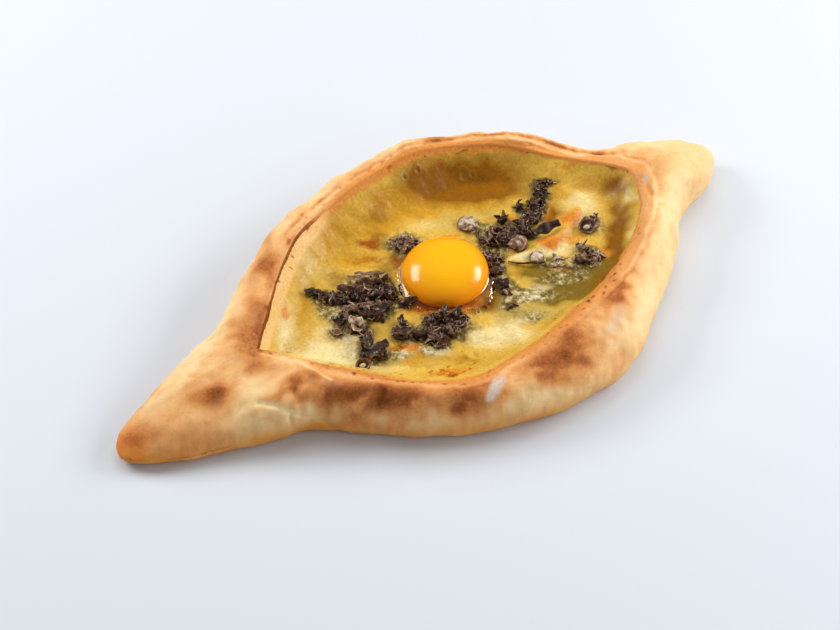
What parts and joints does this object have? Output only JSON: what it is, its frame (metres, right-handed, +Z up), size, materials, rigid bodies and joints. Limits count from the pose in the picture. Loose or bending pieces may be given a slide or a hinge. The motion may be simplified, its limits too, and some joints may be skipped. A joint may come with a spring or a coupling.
{
  "type": "khachapuri",
  "caption": "Open boat of baked bread with pinched pointed ends, filled with melted cheese, chopped mushrooms and a raw egg yolk.",
  "frame": {"origin": "on the resting face, under the middle of the object's box", "axes": "+X along the boat from the long pointed tail to the short blunt tail, +Z up"},
  "size_m": [0.306, 0.1556, 0.0279],
  "materials": {
    "baked_dough": "matte baked wheat crust, pale cream with brown blistered patches",
    "melted_cheese": "oily sheen, golden and olive yellow with toasted spots",
    "egg_yolk": "wet and glossy",
    "mushroom": "dark cooked mushroom with a buttery sheen"
  },
  "bodies": {
    "root": {"bread": "baked_dough", "cheese": "melted_cheese", "yolk": "egg_yolk", "mushroom_heap_left": "mushroom", "mushroom_heap_left_low": "mushroom", "mushroom_heap_front_left": "mushroom", "mushroom_heap_front": "mushroom", "mushroom_heap_back_left": "mushroom", "mushroom_heap_back": "mushroom", "mushroom_heap_back_right": "mushroom", "mushroom_heap_right": "mushroom", "mushroom_heap_yolk_side": "mushroom", "mushroom_cap_grey": "mushroom", "mushroom_cap_brown": "mushroom", "mushroom_cap_right": "mushroom", "mushroom_cap_front": "mushroom"}
  },
  "joints": []
}
